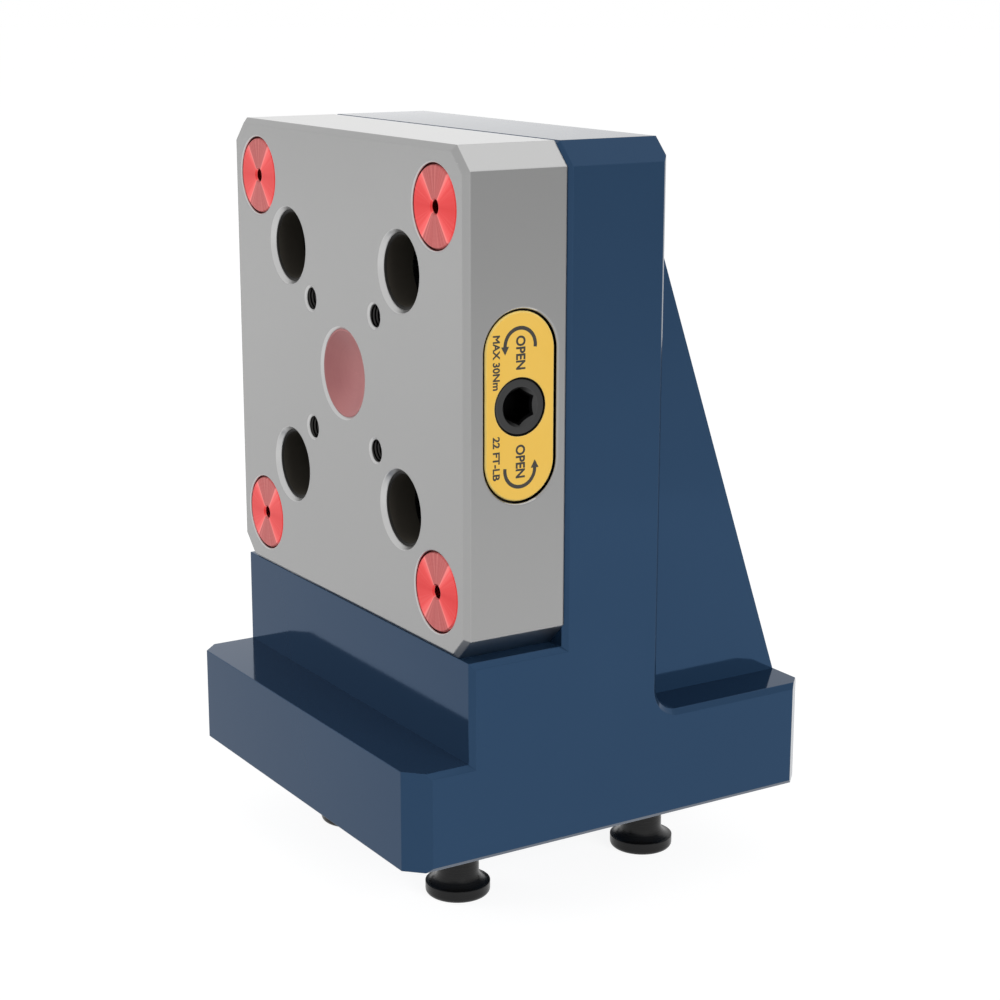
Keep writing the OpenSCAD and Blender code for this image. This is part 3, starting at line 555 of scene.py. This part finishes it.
# Print on the label: two arrows with the opening word, and the torque in two units, screen
# printed in dark grey ink that stands a hair proud.
INK_GREY = (0.030, 0.029, 0.028, 1)
INK_THIN = (0.052, 0.048, 0.040, 1)
INK_ROUGH = (0.42, 0.55)
INK_T = 0.03 * MM
ARC_R = 3.7 * MM
ARC_STEPS = 28
STROKE = 0.8 * MM
HEAD_W = 1.95 * MM
HEAD_L = 1.75 * MM
LETTER_TOP = 0.72
OPEN_CAP = 2.2 * MM
OPEN_LENGTH = 7.1 * MM
TORQUE_CAP = 1.65 * MM
TORQUE_ASIDE = -5.9 * MM

grey_ink, tree, shader = surface("grey_ink", IOR=1.45)
film = group(tree, cloudy_film, Cloud_Size=2 * MM, Grain_Size=0.15 * MM)
flat = node(tree, "NewGeometry").outputs["Normal"]
tree.links.new(blend(tree, film["Cloud"], INK_GREY, INK_THIN), shader["Base Color"])
tree.links.new(ramp(tree, film["Grain"], 0.3, 0.7, *INK_ROUGH), shader["Roughness"])
tree.links.new(bumped(tree, film["Grain"], flat, PRINT_DEPTH), shader["Normal"])

label_low, label_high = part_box("label_plate")
label_mid = (label_low + label_high) / 2
ink_x = label_high.x


def print_on_label(piece, name):
    """Names a printed piece, inks it and lets it ride on the plate."""
    piece.name = name
    bpy.context.scene.collection.objects.link(piece)
    piece.data.materials.append(grey_ink)
    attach(piece, "housing")


def arrow(name, rise, start, end):
    """Flat arrow round an arc. Angles are seen from the right side, in degrees from the rear."""
    shape = bmesh.new()
    rings = []
    for i in range(ARC_STEPS + 1):
        angle = math.radians(start + (end - start) * i / ARC_STEPS)
        ray = Vector((0, math.cos(angle), math.sin(angle)))
        rings.append([ray * (ARC_R + side * STROKE / 2) for side in (-1, 1)])
    way = Vector((0, -math.sin(angle), math.cos(angle)))
    tip = [ray * (ARC_R - HEAD_W / 2), ray * ARC_R + way * HEAD_L, ray * (ARC_R + HEAD_W / 2)]
    outline = [r[0] for r in rings] + tip + [r[1] for r in reversed(rings)]
    middle = Vector((ink_x, label_mid.y, label_mid.z + rise))
    face = shape.faces.new([shape.verts.new(middle + p) for p in outline])
    raised = bmesh.ops.extrude_face_region(shape, geom=[face])["geom"]
    raised = [v for v in raised if isinstance(v, bmesh.types.BMVert)]
    bmesh.ops.translate(shape, vec=(INK_T, 0, 0), verts=raised)
    bmesh.ops.recalc_face_normals(shape, faces=shape.faces)
    mesh = bpy.data.meshes.new(name)
    shape.to_mesh(mesh)
    shape.free()
    print_on_label(bpy.data.objects.new(name, mesh), name)


def lettering(name, words, cap, bold, length, aside, rise):
    """Line of bold capitals that reads downwards, of a given cap height and length."""
    font = bpy.data.curves.new(name, "FONT")
    font.body = words
    font.align_x = "CENTER"
    font.align_y = "CENTER"
    font.bevel_depth = bold
    font.bevel_resolution = 0
    font.extrude = 0.5 - bold
    font.resolution_u = 4
    piece = bpy.data.objects.new(name, font)
    bpy.context.scene.collection.objects.link(piece)
    bpy.context.view_layer.update()
    size = Matrix.Diagonal((length / piece.dimensions.x, cap / LETTER_TOP, INK_T, 1))
    bpy.context.scene.collection.objects.unlink(piece)
    turned = Matrix(((0, 0, 1), (0, 1, 0), (-1, 0, 0))).to_4x4()
    place = Vector((ink_x + INK_T / 2, label_mid.y + aside, label_mid.z + rise))
    piece.matrix_world = Matrix.Translation(place) @ turned @ size
    print_on_label(piece, name)


arrow("arrow_upper", rise=12.9 * MM, start=-8, end=180)
arrow("arrow_lower", rise=-13.3 * MM, start=172, end=360)
lettering("open_upper", "OPEN", OPEN_CAP, bold=0.031, length=OPEN_LENGTH, aside=0, rise=11.4 * MM)
lettering("open_lower", "OPEN", OPEN_CAP, bold=0.031, length=OPEN_LENGTH, aside=0, rise=-11.6 * MM)
lettering("torque_upper", "MAX 30Nm", TORQUE_CAP, bold=0.03, length=11.4 * MM,
          aside=TORQUE_ASIDE, rise=9.75 * MM)
lettering("torque_lower", "22 FT-LB", TORQUE_CAP, bold=0.03, length=9.3 * MM,
          aside=TORQUE_ASIDE, rise=-10.4 * MM)


# Studio: a white floor in a white room, and two large soft lamps, on the right and in front on
# the left. A white and a grey card beside the part show only in its shiny faces. The camera
# has the photograph's height and distance.
FLOOR_R = 8.0
FLOOR_GREY = 0.25
FLOOR_GLOW = 0.89
ROOM_FILL = 0.45
LENS = 76.7
SENSOR = 36
CAMERA_AT = Vector((0.418475, -0.260818, 0.206442))
CAMERA_RIGHT = Vector((0.53099, 0.84738, 0.00168))
CAMERA_UP = Vector((-0.20440, 0.12616, 0.97072))


def seen(tree):
    """1 for what the camera sees directly, in a reflection or through glass, and 0 for light."""
    path = node(tree, "LightPath").outputs
    mirrored = maths(tree, "MAXIMUM", path["Is Glossy Ray"], path["Is Transmission Ray"])
    return maths(tree, "MAXIMUM", path["Is Camera Ray"], mirrored)


white_floor, tree, shader = surface("white_floor", Roughness=1.0, Specular_IOR_Level=0.0)
shader["Base Color"].default_value = (FLOOR_GREY, FLOOR_GREY, FLOOR_GREY, 1)
shader["Emission Color"].default_value = (1, 1, 1, 1)
tree.links.new(maths(tree, "MULTIPLY", seen(tree), FLOOR_GLOW), shader["Emission Strength"])
bpy.ops.mesh.primitive_circle_add(vertices=96, radius=FLOOR_R, fill_type="NGON")
floor = bpy.context.object
floor.name = "floor"
floor.data.materials.append(white_floor)

room = bpy.data.worlds.new("room")
room.use_nodes = True
bpy.context.scene.world = room
room_light = room.node_tree.nodes["Background"]
room_light.inputs["Color"].default_value = (1, 1, 1, 1)
room.node_tree.links.new(ramp(room.node_tree, seen(room.node_tree), 0, 1, ROOM_FILL, 1.0),
                         room_light.inputs["Strength"])


def outward(azimuth, elevation):
    """Direction away from the part; azimuth 0 is in front and 90 to the right."""
    a, e = math.radians(azimuth), math.radians(elevation)
    return Vector((math.sin(a) * math.cos(e), -math.cos(a) * math.cos(e), math.sin(e)))


def soft_lamp(name, azimuth, elevation, distance, size, glow, mirrored):
    """Square lamp aimed at the part, where glow 1 is white. It either lights the part or only
    shows in its shiny surfaces, as a white card does."""
    light = bpy.data.lights.new(name, "AREA")
    light.shape = "SQUARE"
    light.size = size
    light.energy = glow * math.pi * size * size
    lamp = bpy.data.objects.new(name, light)
    out = outward(azimuth, elevation)
    middle = (cad_box[0] + cad_box[1]) / 2
    aim = out.to_track_quat("Z", "Y").to_matrix().to_4x4()
    lamp.matrix_world = Matrix.Translation(middle + out * distance) @ aim
    lamp.visible_camera = False
    lamp.visible_diffuse = not mirrored
    lamp.visible_glossy = mirrored
    bpy.context.scene.collection.objects.link(lamp)


soft_lamp("lamp_right", azimuth=95, elevation=12, distance=1.6, size=1.0, glow=5.2, mirrored=False)
soft_lamp("lamp_left", azimuth=-45, elevation=12, distance=1.6, size=1.0, glow=4.6, mirrored=False)
soft_lamp("card_left", azimuth=-104, elevation=-9, distance=0.42, size=0.36, glow=0.30, mirrored=True)

# Grey card behind the part on the right, white at its foot, which darkens the upper end of
# what the part's right side mirrors.
SHADE_AT = outward(125, 0) * 0.42
SHADE_W = 0.6
SHADE_H = 0.6
SHADE_FADE = 0.13
SHADE_GREY = 0.71

grey_card, tree, shader = surface("grey_card", Roughness=1.0, Specular_IOR_Level=0.0)
shader["Base Color"].default_value = (0, 0, 0, 1)
shader["Emission Color"].default_value = (1, 1, 1, 1)
height = node(tree, "SeparateXYZ", Vector=node(tree, "NewGeometry").outputs["Position"]).outputs["Z"]
tree.links.new(ramp(tree, height, 0, SHADE_FADE, 1.0, SHADE_GREY), shader["Emission Strength"])
bpy.ops.mesh.primitive_plane_add(size=1)
shade = bpy.context.object
shade.name = "shade"
shade.matrix_world = (Matrix.Translation(SHADE_AT + Vector((0, 0, SHADE_H / 2)))
                      @ SHADE_AT.to_track_quat("Z", "Y").to_matrix().to_4x4()
                      @ Matrix.Diagonal((SHADE_W, SHADE_H, 1, 1)))
shade.data.materials.append(grey_card)
shade.visible_camera = shade.visible_diffuse = False
shade.visible_shadow = shade.visible_transmission = False

lens = bpy.data.cameras.new("camera")
lens.lens = LENS
lens.sensor_width = SENSOR
camera = bpy.data.objects.new("camera", lens)
axes = Matrix((CAMERA_RIGHT, CAMERA_UP, CAMERA_RIGHT.cross(CAMERA_UP))).transposed()
camera.matrix_world = Matrix.Translation(CAMERA_AT) @ axes.to_4x4()
lens.clip_start = 0.01
bpy.context.scene.collection.objects.link(camera)
bpy.context.scene.camera = camera
bpy.context.scene.view_settings.view_transform = "Standard"
